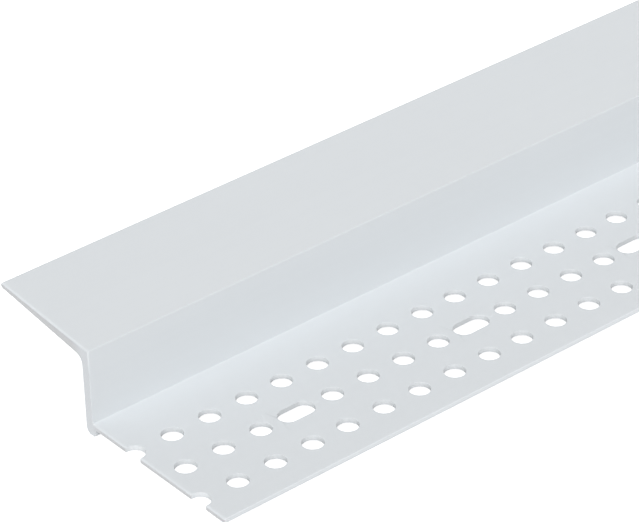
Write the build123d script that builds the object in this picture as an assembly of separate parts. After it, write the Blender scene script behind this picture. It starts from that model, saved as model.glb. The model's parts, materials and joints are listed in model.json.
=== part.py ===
from build123d import *
import math
import os

# Shadow gap profile: one length of extruded white PVC trim that finishes the edge of a plasterboard
# and leaves a recessed line between the board and the wall. The section is a Z. The board lies on the
# perforated flange, with its edge against the web. The smooth flange runs on to the wall and forms the
# back of the gap. The web ends below the perforated flange in a rounded lip, which stands out a little
# under that flange. The filler on the flange is drawn off level with the lip.
# Millimetres. X runs along the length, the smooth flange points to +Y and the perforated one to -Y.
# Z is up from the bottom of the lip. The origin is the middle of the underside of the bounding box.

# Length, as sold
LENGTH = 2500.0

# Web and lip
BOARD_THICKNESS = 12.5
BOARD_PLAY = 0.3             # room over the board, up to the bend of the smooth flange
WEB_THICKNESS = 1.6
LIP_DEPTH = 1.4              # lip below the underside of the perforated flange
LIP_OVERHANG = 0.6           # lip out from the board side of the web, under the perforated flange
LIP_FRONT_RADIUS = 0.6       # lower corner under the perforated flange
LIP_BACK_RADIUS = 1.05       # lower corner under the smooth flange

# Smooth flange, which tapers to its tip and springs up a little from square
SMOOTH_WIDTH = 21.5          # board side of the web to the tip
SMOOTH_RISE = 4.7            # degrees
SMOOTH_ROOT_THICKNESS = 1.85
SMOOTH_TIP_THICKNESS = 0.85
BEND_INNER_RADIUS = 1.6
BEND_OUTER_RADIUS = 0.2
TIP_RADIUS = 0.3

# Perforated flange
FLANGE_THICKNESS = 0.85
FLANGE_EDGE_RADIUS = 0.25
FOOT_RADIUS = 0.1            # between the web and the top of the perforated flange

# Perforation: three rows, punched in strokes of five columns as the strip is fed through the tool.
# The middle row stands half a pitch back, and one place in each of its strokes is a slot.
ROWS = 3
ROW_PITCH = 7.7
FIRST_ROW = 9.8              # board side of the web to the first row
EDGE_MARGIN = 6.1            # last row to the outer edge of the flange
COLUMNS = 5
HOLE_PITCH = 7.0
STROKE_GAP = 6.7             # last column of a stroke to the first column of the next
HOLE_DIAMETER = 3.45
SLOT_LENGTH = 6.45
SLOT_WIDTH = 3.45
SAW_CUT = 0.25               # saw cut at the -X end to the column of holes that it halves

# Derived sizes
flange_width = FIRST_ROW + (ROWS - 1) * ROW_PITCH + EDGE_MARGIN
stroke_feed = (COLUMNS - 1) * HOLE_PITCH + STROKE_GAP
flange_underside = LIP_DEPTH
flange_top = flange_underside + FLANGE_THICKNESS
bend_top = flange_top + BOARD_THICKNESS + BOARD_PLAY
rise = math.tan(math.radians(SMOOTH_RISE))
web_y = (flange_width - SMOOTH_WIDTH) / 2     # board side of the web, with the origin in mid-width


def limited(radius, wall):
    """A corner radius, kept under half of the wall that it rounds."""
    return min(radius, 0.49 * wall)


def section():
    """The Z section in the YZ plane, as corners (y from the board side of the web, z, radius)."""
    tip_top = bend_top + SMOOTH_WIDTH * rise
    root_underside = bend_top + WEB_THICKNESS * rise - SMOOTH_ROOT_THICKNESS
    edge_round = limited(FLANGE_EDGE_RADIUS, FLANGE_THICKNESS)
    tip_round = limited(TIP_RADIUS, SMOOTH_TIP_THICKNESS)
    lip_thickness = LIP_OVERHANG + WEB_THICKNESS
    corners = [
        (-flange_width, flange_underside, edge_round),
        (-LIP_OVERHANG, flange_underside, 0),
        (-LIP_OVERHANG, 0, limited(LIP_FRONT_RADIUS, lip_thickness)),
        (WEB_THICKNESS, 0, limited(LIP_BACK_RADIUS, lip_thickness)),
        (WEB_THICKNESS, root_underside, BEND_INNER_RADIUS),
        (SMOOTH_WIDTH, tip_top - SMOOTH_TIP_THICKNESS, tip_round),
        (SMOOTH_WIDTH, tip_top, tip_round),
        (0, bend_top, limited(BEND_OUTER_RADIUS, WEB_THICKNESS)),
        (0, flange_top, FOOT_RADIUS),
        (-flange_width, flange_top, edge_round),
    ]
    points = [(web_y + y, z) for y, z, _ in corners]
    return make_face(FilletPolyline(*points, radius=[r for _, _, r in corners], close=True))


def perforation():
    """The punches: a round one for each hole and an obround one for each slot, along the whole length."""
    end = LENGTH / 2
    height = 2 * FLANGE_THICKNESS
    hole = Cylinder(HOLE_DIAMETER / 2, height)
    slot = extrude(SlotOverall(SLOT_LENGTH, SLOT_WIDTH), height / 2, both=True)
    first_stroke = -end + SAW_CUT - HOLE_PITCH
    z = (flange_underside + flange_top) / 2
    punches = []
    for stroke in range(math.ceil((LENGTH + HOLE_PITCH + SLOT_LENGTH) / stroke_feed)):
        for column in range(COLUMNS):
            for row in range(ROWS):
                set_back = row % 2
                is_slot = set_back and column == 0
                x = first_stroke + stroke * stroke_feed + (column - set_back / 2) * HOLE_PITCH
                y = web_y - FIRST_ROW - row * ROW_PITCH
                half_size = (SLOT_LENGTH if is_slot else HOLE_DIAMETER) / 2
                if abs(x) < end + half_size:
                    punches.append(Pos(x, y, z) * (slot if is_slot else hole))
    return punches


strip = extrude(Plane.YZ * section(), LENGTH / 2, both=True)
profile = strip - perforation()

os.makedirs("parts", exist_ok=True)
export_step(profile, "parts/profile.step")
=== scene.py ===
import json
import math

import bmesh
import bpy
from mathutils import Matrix, Vector
from mathutils.geometry import delaunay_2d_cdt


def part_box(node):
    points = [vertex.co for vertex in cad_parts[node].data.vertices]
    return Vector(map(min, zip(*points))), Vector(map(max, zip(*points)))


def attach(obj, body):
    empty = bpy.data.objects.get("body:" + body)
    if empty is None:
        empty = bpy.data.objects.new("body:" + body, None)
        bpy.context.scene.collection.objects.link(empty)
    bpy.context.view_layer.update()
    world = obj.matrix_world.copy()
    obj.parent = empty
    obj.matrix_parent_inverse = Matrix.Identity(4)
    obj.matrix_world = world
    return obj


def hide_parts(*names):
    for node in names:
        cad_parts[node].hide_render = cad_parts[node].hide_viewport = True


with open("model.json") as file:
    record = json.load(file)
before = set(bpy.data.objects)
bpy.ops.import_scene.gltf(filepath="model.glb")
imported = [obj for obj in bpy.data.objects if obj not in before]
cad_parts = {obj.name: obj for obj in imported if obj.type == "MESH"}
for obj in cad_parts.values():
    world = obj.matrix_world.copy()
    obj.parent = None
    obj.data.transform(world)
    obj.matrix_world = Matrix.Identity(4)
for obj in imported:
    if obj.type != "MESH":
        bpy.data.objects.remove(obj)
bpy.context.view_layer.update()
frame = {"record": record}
bpy.context.scene.view_settings.view_transform = "Standard"

# Section of the strip: rigid PVC drawn hot through a Z-shaped die and cooled in a sizing block, which
# leaves flat faces, small corners and thin flanges. The board side of the web, the top of the perforated
# flange and the strip's ends come from the frame.
MM = 0.001                   # the frame is in metres
mounts = {mount["name"]: mount for mount in frame["record"]["mounts"]}
strip_low, strip_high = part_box("profile")
web_front = mounts["board_edge_stop"]["pos_m"][1]
flange_top = mounts["board_seat"]["pos_m"][2]

WEB_HEIGHT = 12.8 * MM       # top of the perforated flange to the bend
WEB_THICKNESS = 1.6 * MM
WORN_HEIGHT = 4.5 * MM       # top of the web, where its arris at the sawn ends is worn
FLANGE_THICKNESS = 0.85 * MM
SMOOTH_RISE = math.tan(math.radians(4.7))
SMOOTH_ROOT_THICKNESS = 1.85 * MM
SMOOTH_TIP_THICKNESS = 0.85 * MM
FOOT_RADIUS = 0.1 * MM
BEND_OUTER_RADIUS = 0.1 * MM
BEND_INNER_RADIUS = 1.6 * MM
TIP_RADIUS = 0.3 * MM
LIP_OVERHANG = 0.6 * MM
LIP_BACK_RADIUS = 1.05 * MM
LIP_FRONT_RADIUS = 0.6 * MM
EDGE_RADIUS = 0.15 * MM
CORNER_STEPS = 5

web_back = web_front + WEB_THICKNESS
lip_front = web_front - LIP_OVERHANG
flange_bottom = flange_top - FLANGE_THICKNESS
bend_top = flange_top + WEB_HEIGHT
worn_from = bend_top - WORN_HEIGHT
tip_top = bend_top + (strip_high.y - web_front) * SMOOTH_RISE
root_bottom = bend_top + WEB_THICKNESS * SMOOTH_RISE - SMOOTH_ROOT_THICKNESS


def rounded(outline):
    """The points of a closed outline of corners (y, z, radius), as one list for each corner."""
    arcs = []
    for i, (y, z, radius) in enumerate(outline):
        corner = Vector((y, z))
        if not radius:
            arcs.append([corner])
            continue
        back = (Vector(outline[i - 1][:2]) - corner).normalized()
        ahead = (Vector(outline[(i + 1) % len(outline)][:2]) - corner).normalized()
        half_angle = back.angle(ahead) / 2
        centre = corner + (back + ahead).normalized() * radius / math.sin(half_angle)
        start = corner + back * radius / math.tan(half_angle) - centre
        end = corner + ahead * radius / math.tan(half_angle) - centre
        turn = -start.angle_signed(end) / CORNER_STEPS
        arcs.append([centre + Matrix.Rotation(turn * step, 2) @ start for step in range(CORNER_STEPS + 1)])
    return arcs


*strip_corners, edge_low, edge_high = rounded([
    (web_front, flange_top, FOOT_RADIUS),
    (web_front, worn_from, 0),
    (web_front, bend_top, BEND_OUTER_RADIUS),
    (strip_high.y, tip_top, TIP_RADIUS),
    (strip_high.y, tip_top - SMOOTH_TIP_THICKNESS, TIP_RADIUS),
    (web_back, root_bottom, BEND_INNER_RADIUS),
    (web_back, strip_low.z, LIP_BACK_RADIUS),
    (lip_front, strip_low.z, LIP_FRONT_RADIUS),
    (lip_front, flange_bottom, 0),
    (strip_low.y, flange_bottom, EDGE_RADIUS),
    (strip_low.y, flange_top, EDGE_RADIUS),
])
edge_y = strip_low.y + EDGE_RADIUS
web_and_smooth_flange = [Vector((lip_front, flange_top)), *sum(strip_corners, [])]
outer_edge = edge_low + edge_high

# Perforation: three rows punched through one flange, five columns at a stroke of the tool. The middle row
# stands half a pitch back and has a slot at its first place. The punch rolls the rim over a little.
hole_set = mounts["fixing_holes_near_end"]
hole_radius = hole_set["dims"]["hole_r_mm"] * MM
COLUMNS = 5
ROWS = 3
pitch = hole_set["dims"]["spacing_x_mm"] * MM / (COLUMNS - 1)
row_pitch = hole_set["dims"]["spacing_y_mm"] * MM / (ROWS - 1)
middle_row = hole_set["pos_m"][1]
STROKE_GAP = 6.7 * MM        # last column of a stroke to the first column of the next
SLOT_STRAIGHT = 3.0 * MM     # straight sides of a slot, between its round ends
RIM_ROLL = 0.04 * MM
ROUND_SIDES = 20
SLOT_SIDES = 28

feed = (COLUMNS - 1) * pitch + STROKE_GAP
slot_x = (STROKE_GAP - pitch) / 2
slot_reach = SLOT_STRAIGHT / 2 + hole_radius
step_x = (slot_x - slot_reach + slot_x - STROKE_GAP + hole_radius) / 2
upper_gap = middle_row + row_pitch / 2
lower_gap = middle_row - row_pitch / 2

punches = [(slot_x, middle_row, SLOT_STRAIGHT / 2, SLOT_SIDES)]
for column in range(COLUMNS):
    x = STROKE_GAP / 2 + column * pitch
    punches += [(x, middle_row + row_pitch, 0, ROUND_SIDES), (x, middle_row - row_pitch, 0, ROUND_SIDES)]
    if column:
        punches.append((x - pitch / 2, middle_row, 0, ROUND_SIDES))


def rim(punch, growth):
    """The outline of a punched hole, with its radius enlarged by growth."""
    x, y, half_straight, sides = punch
    radius = hole_radius + growth
    turns = [math.tau * (side + 0.5) / sides for side in range(sides)]
    return [(x + math.copysign(half_straight, math.cos(a)) + radius * math.cos(a), y + radius * math.sin(a))
            for a in turns]


# One stroke of the tool: a length of the strip between two stepped joints that miss every hole. The
# flange's faces are filled between the rims, and the rest of the section is drawn straight across.
joint = [(0, lip_front), (0, upper_gap), (step_x, upper_gap),
         (step_x, lower_gap), (0, lower_gap), (0, edge_y)]
border = joint + [(x + feed, y) for x, y in reversed(joint)]
loops = [border] + [rim(punch, RIM_ROLL) for punch in punches]
loop_starts = [sum(len(loop) for loop in loops[:i]) for i in range(len(loops))]
loop_edges = [(start + i, start + (i + 1) % len(loop))
              for start, loop in zip(loop_starts, loops) for i in range(len(loop))]
flange_points = [Vector(point) for loop in loops for point in loop]
loop_of = [i for i, loop in enumerate(loops) for _ in loop]
INSIDE_BORDER = 1
CLOSEST = 1e-6 * MM
_, _, filled, *_ = delaunay_2d_cdt(flange_points, loop_edges, [], INSIDE_BORDER, CLOSEST)
# A triangle with all its corners on one rim lies in a hole and is left out.
flange_triangles = [triangle for triangle in filled if len({loop_of[i] or -i for i in triangle}) > 1]

EXTRUDED, PUNCHED, SAWN = range(3)
points, faces, finishes = [], [], []


def add_faces(new_faces, finish):
    """Adds faces of one finish to the stroke."""
    faces.extend(new_faces)
    finishes.extend([finish] * len(new_faces))


top_start = len(points)
points += [(p.x, p.y, flange_top) for p in flange_points]
bottom_start = len(points)
points += [(x, y, flange_bottom) for x, y in border]
points += [(x, y, flange_bottom) for punch in punches for x, y in rim(punch, 0)]
wall_start = len(points)
points += [(x, y, flange_top - RIM_ROLL) for x, y in border]
points += [(x, y, flange_top - RIM_ROLL) for punch in punches for x, y in rim(punch, 0)]
add_faces([[top_start + i for i in triangle] for triangle in flange_triangles], EXTRUDED)
add_faces([[bottom_start + i for i in triangle] for triangle in flange_triangles], EXTRUDED)
for a, b in loop_edges[len(border):]:
    add_faces([(top_start + a, top_start + b, wall_start + b, wall_start + a),
               (wall_start + a, wall_start + b, bottom_start + b, bottom_start + a)], PUNCHED)
for path in (web_and_smooth_flange, outer_edge):
    start = len(points)
    points += [(x, p.x, p.y) for p in path for x in (0, feed)]
    add_faces([(start + 2 * i, start + 2 * i + 1, start + 2 * i + 3, start + 2 * i + 2)
               for i in range(len(path) - 1)], EXTRUDED)

stroke_mesh = bpy.data.meshes.new("stroke")
stroke_mesh.from_pydata(points, [], faces)
stroke_mesh.polygons.foreach_set("material_index", finishes)

# The strip as sold: stroke after stroke in one length, sawn off square at both ends. The first saw cut
# passes just short of the middle of a column. The upper arris of each end is rolled over a little, and so
# is the top of the web's own arris, which is the first to be knocked.
ROLL_DEPTH = 0.28 * MM
ROLL_REACH = 0.35 * MM
ROLL_STEPS = 4
WELD = 0.001 * MM
SHARP_ANGLE = math.radians(60)
first_stroke = hole_set["pos_m"][0] - (COLUMNS - 1) / 2 * pitch - STROKE_GAP / 2 - feed
strokes = math.ceil((strip_high.x - first_stroke - step_x) / feed)

strip = bpy.data.objects.new("profile_strip", stroke_mesh)
strip.location.x = first_stroke
bpy.context.scene.collection.objects.link(strip)
array = strip.modifiers.new("strokes", "ARRAY")
array.count = strokes
array.use_relative_offset = False
array.use_constant_offset = True
array.constant_offset_displace = (feed, 0, 0)
array.use_merge_vertices = True
array.merge_threshold = WELD
bpy.context.view_layer.update()
strip_mesh = bpy.data.meshes.new_from_object(strip.evaluated_get(bpy.context.evaluated_depsgraph_get()))
strip_mesh.transform(strip.matrix_world)
strip.modifiers.clear()
strip.location.x = 0

solid = bmesh.new()
solid.from_mesh(strip_mesh)
bmesh.ops.delete(solid, geom=[v for v in solid.verts if not v.link_faces], context="VERTS")
bmesh.ops.remove_doubles(solid, verts=solid.verts, dist=WELD)
caps = []
for end_x, outward in ((strip_low.x, -1), (strip_high.x, 1)):
    for step in range(ROLL_STEPS + 1):
        cut_x = end_x - outward * ROLL_REACH * (1 - step / ROLL_STEPS)
        bmesh.ops.bisect_plane(solid, geom=solid.verts[:] + solid.edges[:] + solid.faces[:],
                               plane_co=(cut_x, 0, 0), plane_no=(outward, 0, 0),
                               clear_outer=step == ROLL_STEPS)
    sawn_edges = [edge for edge in solid.edges
                  if edge.is_boundary and all(abs(v.co.x - end_x) < WELD for v in edge.verts)]
    caps += bmesh.ops.edgeloop_fill(solid, edges=sawn_edges, mat_nr=SAWN)["faces"]
bmesh.ops.recalc_face_normals(solid, faces=solid.faces)

rolled = []
for vertex in solid.verts:
    x, y, z = vertex.co
    depth = min(abs(x - strip_low.x), abs(x - strip_high.x))
    if depth >= ROLL_REACH:
        continue
    fall = ROLL_DEPTH * (1 - math.sqrt(1 - (1 - depth / ROLL_REACH) ** 2))
    if z > worn_from:
        y = max(y, web_front + fall * (z - worn_from) / WORN_HEIGHT)
        z = min(z, bend_top + (y - web_front) * SMOOTH_RISE - fall)
    else:
        sides = [face.normal for face in vertex.link_faces if face not in caps]
        z -= fall * max(0, sum(sides, Vector()).normalized().z)
    rolled.append((vertex, (x, y, z)))
for vertex, moved_to in rolled:
    vertex.co = moved_to
bmesh.ops.remove_doubles(solid, verts=solid.verts, dist=WELD)
solid.to_mesh(strip_mesh)
solid.free()
strip.data = strip_mesh
strip_mesh.shade_smooth()
strip_mesh.set_sharp_from_angle(angle=SHARP_ANGLE)
strip.modifiers.new("flat faces stay flat", "WEIGHTED_NORMAL").keep_sharp = True


def linear(hex_colour):
    """An sRGB hex colour as linear red, green, blue and alpha."""
    parts = [int(hex_colour[i:i + 2], 16) / 255 for i in (1, 3, 5)]
    return [*(c / 12.92 if c <= 0.04045 else ((c + 0.055) / 1.055) ** 2.4 for c in parts), 1.0]


def add(tree, kind, inputs={}, **settings):
    """Adds a node with its settings. An input is a value, or the socket that it is linked from."""
    made = tree.nodes.new(kind)
    for name, value in settings.items():
        setattr(made, name, value)
    for name, value in inputs.items():
        if isinstance(value, bpy.types.NodeSocket):
            tree.links.new(value, made.inputs[name])
        else:
            made.inputs[name].default_value = value
    return made


def new_material(name):
    """An empty material and its node tree."""
    material = bpy.data.materials.new(name)
    material.use_nodes = True
    material.node_tree.nodes.clear()
    return material, material.node_tree


# The skin is rigid PVC, white with a cool cast, as the die and the sizing block left it: satin, with a
# slight unevenness of tone and faint die lines along the length, drawn coarser than the real ones so that
# they show. Light sinks in a little and softens the arrises.
DIE_LINE_SPACING = 0.9 * MM
DIE_LINE_LENGTH = 400 * MM
DIE_LINE_DEPTH = 0.004 * MM
TONE_PATCH = 22 * MM
LIGHT_DEPTH = 0.3 * MM
pvc = {"IOR": 1.53, "Subsurface Weight": 0.2, "Subsurface Radius": (1.0, 1.0, 1.0),
       "Subsurface Scale": LIGHT_DEPTH}
skin, tree = new_material("extruded_pvc")
place = add(tree, "ShaderNodeTexCoord").outputs["Object"]
drawn_out = add(tree, "ShaderNodeMapping", {
    "Vector": place, "Scale": (1 / DIE_LINE_LENGTH, 1 / DIE_LINE_SPACING, 1 / DIE_LINE_SPACING)})
die_lines = add(tree, "ShaderNodeTexNoise", {"Vector": drawn_out.outputs[0], "Scale": 1.0, "Detail": 2.0})
tone = add(tree, "ShaderNodeTexNoise", {"Vector": place, "Scale": 1 / TONE_PATCH, "Detail": 3.0})
# A mix node takes its share at input 0. Two numbers go in at 2 and 3 and come out at 0, and two colours go
# in at 6 and 7 and come out at 2.
blend = add(tree, "ShaderNodeMix", {0: 0.5, 2: die_lines.outputs["Fac"], 3: tone.outputs["Fac"]})
colour = add(tree, "ShaderNodeMix", {0: blend.outputs[0], 6: linear("#D8DCDF"), 7: linear("#DCE0E3")},
             data_type="RGBA")
roughness = add(tree, "ShaderNodeMapRange", {
    "Value": die_lines.outputs["Fac"], "To Min": 0.4, "To Max": 0.52})
relief = add(tree, "ShaderNodeBump", {
    "Height": die_lines.outputs["Fac"], "Strength": 1.0, "Distance": DIE_LINE_DEPTH})
shader = add(tree, "ShaderNodeBsdfPrincipled", {
    **pvc, "Base Color": colour.outputs[2], "Roughness": roughness.outputs[0], "Normal": relief.outputs[0]})
add(tree, "ShaderNodeOutputMaterial", {"Surface": shader.outputs[0]})

# The walls of the holes are the same PVC, sheared by the punch, which leaves a duller face with upright
# streaks, drawn coarser than the real ones so that they show.
STREAK_WIDTH = 0.25 * MM
STREAK_LENGTH = 3 * MM
STREAK_DEPTH = 0.02 * MM
walls, tree = new_material("punched_pvc")
place = add(tree, "ShaderNodeTexCoord").outputs["Object"]
upright = add(tree, "ShaderNodeMapping", {
    "Vector": place, "Scale": (1 / STREAK_WIDTH, 1 / STREAK_WIDTH, 1 / STREAK_LENGTH)})
streaks = add(tree, "ShaderNodeTexNoise", {"Vector": upright.outputs[0], "Scale": 1.0, "Detail": 3.0})
colour = add(tree, "ShaderNodeMix", {0: streaks.outputs["Fac"], 6: linear("#D4D8DB"), 7: linear("#DEE1E3")},
             data_type="RGBA")
relief = add(tree, "ShaderNodeBump", {
    "Height": streaks.outputs["Fac"], "Strength": 0.6, "Distance": STREAK_DEPTH})
shader = add(tree, "ShaderNodeBsdfPrincipled", {
    **pvc, "Base Color": colour.outputs[2], "Roughness": 0.6, "Normal": relief.outputs[0]})
add(tree, "ShaderNodeOutputMaterial", {"Surface": shader.outputs[0]})

# The sawn ends are dull PVC, about as pale as the skin on the web. On the two flanges they are painted
# greyer:
# painted shade, standing in for the darker light on the flange ends. They bear the parallel marks of the
# blade's teeth, drawn coarser than the real ones so that they show.
SAW_MARK_SPACING = 0.45 * MM
SAW_MARK_DEPTH = 0.02 * MM
SAW_MARK_SLANT = math.radians(25)
ONE_BAND = math.tau / 20     # scale at which the wave texture has one band to a unit
ends, tree = new_material("sawn_pvc")
place = add(tree, "ShaderNodeTexCoord").outputs["Object"]
slanted = add(tree, "ShaderNodeMapping", {
    "Vector": place, "Rotation": (SAW_MARK_SLANT, 0, 0), "Scale": [1 / SAW_MARK_SPACING] * 3})
marks = add(tree, "ShaderNodeTexWave", {
    "Vector": slanted.outputs[0], "Scale": ONE_BAND, "Distortion": 2.0, "Detail": 3.0}, bands_direction="Y")
across = add(tree, "ShaderNodeSeparateXYZ", {"Vector": place}).outputs["Y"]
from_web = add(tree, "ShaderNodeMath", {0: across, 1: (web_front + web_back) / 2}, operation="SUBTRACT")
from_web = add(tree, "ShaderNodeMath", {0: from_web.outputs[0]}, operation="ABSOLUTE")
# Painted shade: the share of the greyer tone, from none at the web's end to all of it out on the flanges.
painted_shade_on_flange = add(tree, "ShaderNodeMapRange", {
    "Value": from_web.outputs[0], "From Min": WEB_THICKNESS / 2, "From Max": 2 * WEB_THICKNESS})
pale = add(tree, "ShaderNodeMix", {0: marks.outputs["Fac"], 6: linear("#D3D7DB"), 7: linear("#DBDEE1")},
           data_type="RGBA")
# The painted shade tone for the flange ends, darker than the web's end.
painted_shade_grey = add(tree, "ShaderNodeMix", {0: marks.outputs["Fac"], 6: linear("#C5C7C9"), 7: linear("#CFD0D2")},
           data_type="RGBA")
colour = add(tree, "ShaderNodeMix", {0: painted_shade_on_flange.outputs[0], 6: pale.outputs[2], 7: painted_shade_grey.outputs[2]},
             data_type="RGBA")
relief = add(tree, "ShaderNodeBump", {
    "Height": marks.outputs["Fac"], "Strength": 0.6, "Distance": SAW_MARK_DEPTH})
shader = add(tree, "ShaderNodeBsdfPrincipled", {
    **pvc, "Base Color": colour.outputs[2], "Roughness": 0.64, "Normal": relief.outputs[0]})
add(tree, "ShaderNodeOutputMaterial", {"Surface": shader.outputs[0]})
for finish in (skin, walls, ends):
    strip_mesh.materials.append(finish)

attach(strip, "root")
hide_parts("profile")

# Floor: a studio sweep of matt white paper that the strip lies on. It shows white to the camera and in
# reflections, and keeps the strip's shadow.
FLOOR_SIZE = 60              # metres
FLOOR_GLOW = 0.85
floor_mesh = bpy.data.meshes.new("floor")
half = FLOOR_SIZE / 2
floor_corners = [(-half, -half, 0), (half, -half, 0), (half, half, 0), (-half, half, 0)]
floor_mesh.from_pydata(floor_corners, [], [range(4)])
floor = bpy.data.objects.new("floor", floor_mesh)
bpy.context.scene.collection.objects.link(floor)
sweep, tree = new_material("white_paper_sweep")
ray = add(tree, "ShaderNodeLightPath").outputs
seen = add(tree, "ShaderNodeMath", {0: ray["Is Camera Ray"], 1: ray["Is Glossy Ray"]}, operation="MAXIMUM")
seen = add(tree, "ShaderNodeMath", {0: seen.outputs[0], 1: ray["Is Transmission Ray"]}, operation="MAXIMUM")
glow_strength = add(tree, "ShaderNodeMath", {0: seen.outputs[0], 1: FLOOR_GLOW}, operation="MULTIPLY")
glow = add(tree, "ShaderNodeEmission", {"Color": linear("#FFFFFF"), "Strength": glow_strength.outputs[0]})
paper = add(tree, "ShaderNodeBsdfDiffuse", {"Color": linear("#E6E6E6")})
both = add(tree, "ShaderNodeAddShader", {0: paper.outputs[0], 1: glow.outputs[0]})
add(tree, "ShaderNodeOutputMaterial", {"Surface": both.outputs[0]})
floor_mesh.materials.append(sweep)

# Studio light: a broad soft box in front and above, far enough off to light the strip evenly, and an even
# surround, which shows as white and lights the strip less than that.
SURROUND_LIGHT = 0.41
AIM_FROM_END = 53.9 * MM
AIM_ACROSS = 17.35 * MM
AIM_HEIGHT = 1.85 * MM
SOFT_BOX_OFFSET = Vector((-8.88, -10.29, 13.98))     # metres from the point that it is aimed at
SOFT_BOX_WIDTH = 18.0
SOFT_BOX_HEIGHT = 12.0
SOFT_BOX_POWER = 3339        # watts
world = bpy.data.worlds.new("studio")
bpy.context.scene.world = world
world.use_nodes = True
tree = world.node_tree
tree.nodes.clear()
ray = add(tree, "ShaderNodeLightPath").outputs
seen = add(tree, "ShaderNodeMath", {0: ray["Is Camera Ray"], 1: ray["Is Glossy Ray"]}, operation="MAXIMUM")
seen = add(tree, "ShaderNodeMath", {0: seen.outputs[0], 1: ray["Is Transmission Ray"]}, operation="MAXIMUM")
level = add(tree, "ShaderNodeMapRange", {"Value": seen.outputs[0], "To Min": SURROUND_LIGHT, "To Max": 1.0})
surround = add(tree, "ShaderNodeBackground", {"Color": linear("#FFFFFF"), "Strength": level.outputs[0]})
add(tree, "ShaderNodeOutputWorld", {"Surface": surround.outputs[0]})

aim = Vector((strip_low.x + AIM_FROM_END, AIM_ACROSS, AIM_HEIGHT))
soft_box = bpy.data.lights.new("soft_box", "AREA")
soft_box.shape = "RECTANGLE"
soft_box.size = SOFT_BOX_WIDTH
soft_box.size_y = SOFT_BOX_HEIGHT
soft_box.energy = SOFT_BOX_POWER
soft_box_object = bpy.data.objects.new("soft_box", soft_box)
bpy.context.scene.collection.objects.link(soft_box_object)
soft_box_object.location = aim + SOFT_BOX_OFFSET
soft_box_object.rotation_euler = (aim - soft_box_object.location).to_track_quat("-Z", "Y").to_euler()

# Camera: a long lens, in millimetres of lens and sensor, that looks down along the strip from its near end,
# over the perforated flange.
VIEW_AZIMUTH = -38.97
VIEW_ELEVATION = 32.45
VIEW_ROLL = -1.63
VIEW_DISTANCE = 546.7 * MM
LENS = 195
SENSOR_WIDTH = 36
NEAREST_SEEN = 10 * MM
camera_data = bpy.data.cameras.new("camera")
camera_data.sensor_width = SENSOR_WIDTH
camera_data.lens = LENS
camera_data.clip_start = NEAREST_SEEN
camera = bpy.data.objects.new("camera", camera_data)
bpy.context.scene.collection.objects.link(camera)
camera.matrix_world = (
    Matrix.Translation(aim)
    @ Matrix.Rotation(math.radians(VIEW_AZIMUTH), 4, "Z")
    @ Matrix.Rotation(math.radians(90 - VIEW_ELEVATION), 4, "X")
    @ Matrix.Rotation(math.radians(VIEW_ROLL), 4, "Z")
    @ Matrix.Translation((0, 0, VIEW_DISTANCE))
)
bpy.context.scene.camera = camera
